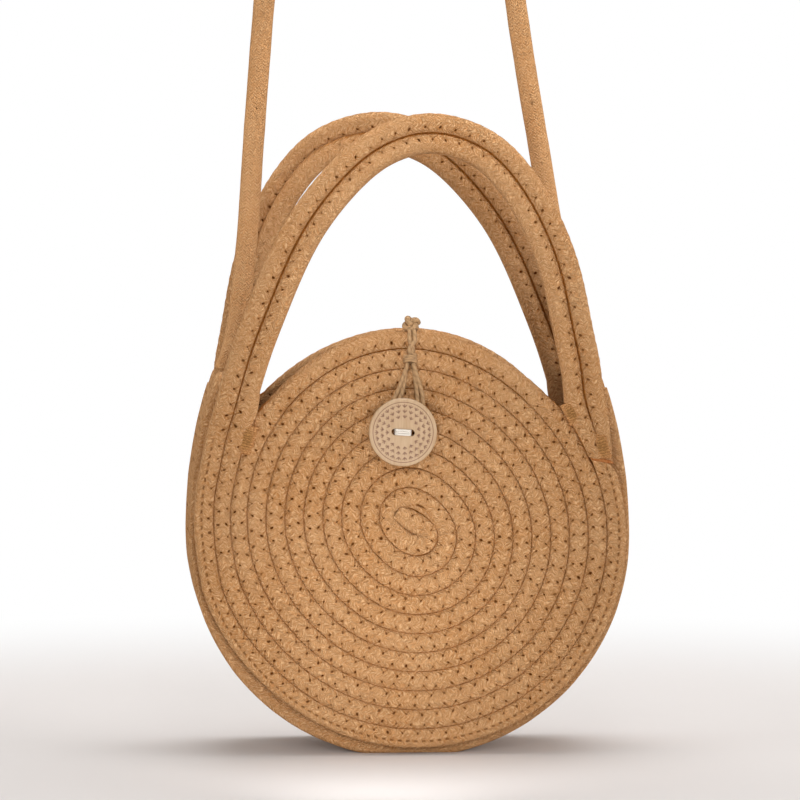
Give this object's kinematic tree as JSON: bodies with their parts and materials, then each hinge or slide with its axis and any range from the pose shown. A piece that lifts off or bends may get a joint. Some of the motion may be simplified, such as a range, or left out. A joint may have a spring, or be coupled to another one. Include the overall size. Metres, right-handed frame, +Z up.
{
  "type": "round rope handbag",
  "caption": "Round handbag coiled from cotton rope, with rope handles, a shoulder strap and a wooden button closed by a waxed cord loop.",
  "frame": {"origin": "on the table under the middle of the bag, between the two discs", "axes": "+Z up; the bag's front, with the button, faces -Y; +X is to the right seen from the front"},
  "size_m": [0.2006, 0.0801, 0.4909],
  "materials": {
    "rope": "matte braided cotton",
    "tack_thread": "dense satin stitching",
    "end_seal": "singed rope end",
    "wood": "smooth, unvarnished",
    "white_thread": "matte thread",
    "waxed_cord": "waxed"
  },
  "bodies": {
    "bag": {"front_panel_coil": "rope", "front_outer_row": "rope", "front_inner_tail": "rope", "front_outer_tail": "rope", "front_row_end_seal": "end_seal", "front_tacks": "tack_thread", "back_panel_coil": "rope", "back_outer_row": "rope", "back_inner_tail": "rope", "back_outer_tail": "rope", "back_row_end_seal": "end_seal", "back_tacks": "tack_thread", "gusset_front_rope": "rope", "gusset_back_rope": "rope", "gusset_middle_row": "rope", "shoulder_strap": "rope", "loop_knot": "waxed_cord", "loop_tail": "waxed_cord"},
    "front_handle": {"front_handle_inner_rope": "rope", "front_handle_outer_rope": "rope"},
    "back_handle": {"back_handle_inner_rope": "rope", "back_handle_outer_rope": "rope"},
    "button": {"button": "wood", "button_thread": "white_thread"},
    "loop": {"loop_cord": "waxed_cord", "loop_wrap": "waxed_cord", "loop_noose": "waxed_cord"}
  },
  "joints": [
    {"name": "front_handle_fold", "type": "hinge", "parent": "bag", "child": "front_handle", "pos_m": [0, -0.03902, 0.1773], "axis": [1, 0, 0], "range_deg": [-6, 150], "stiffness_Nm_per_rad": 0.15},
    {"name": "back_handle_fold", "type": "hinge", "parent": "bag", "child": "back_handle", "pos_m": [0, 0.03902, 0.1773], "axis": [-1, 0, 0], "range_deg": [-6, 150], "stiffness_Nm_per_rad": 0.15},
    {"name": "button_turn", "type": "hinge", "parent": "bag", "child": "button", "pos_m": [-0.0039, -0.038, 0.1476], "axis": [0, 1, 0], "range_deg": [-20, 20], "stiffness_Nm_per_rad": 0.001},
    {"name": "loop_lift", "type": "hinge", "parent": "bag", "child": "loop", "pos_m": [0.0018, -0.01545, 0.19287], "axis": [-1, 0, 0], "range_deg": [0, 150], "deforming": ["loop_noose", "loop_cord"]}
  ]
}
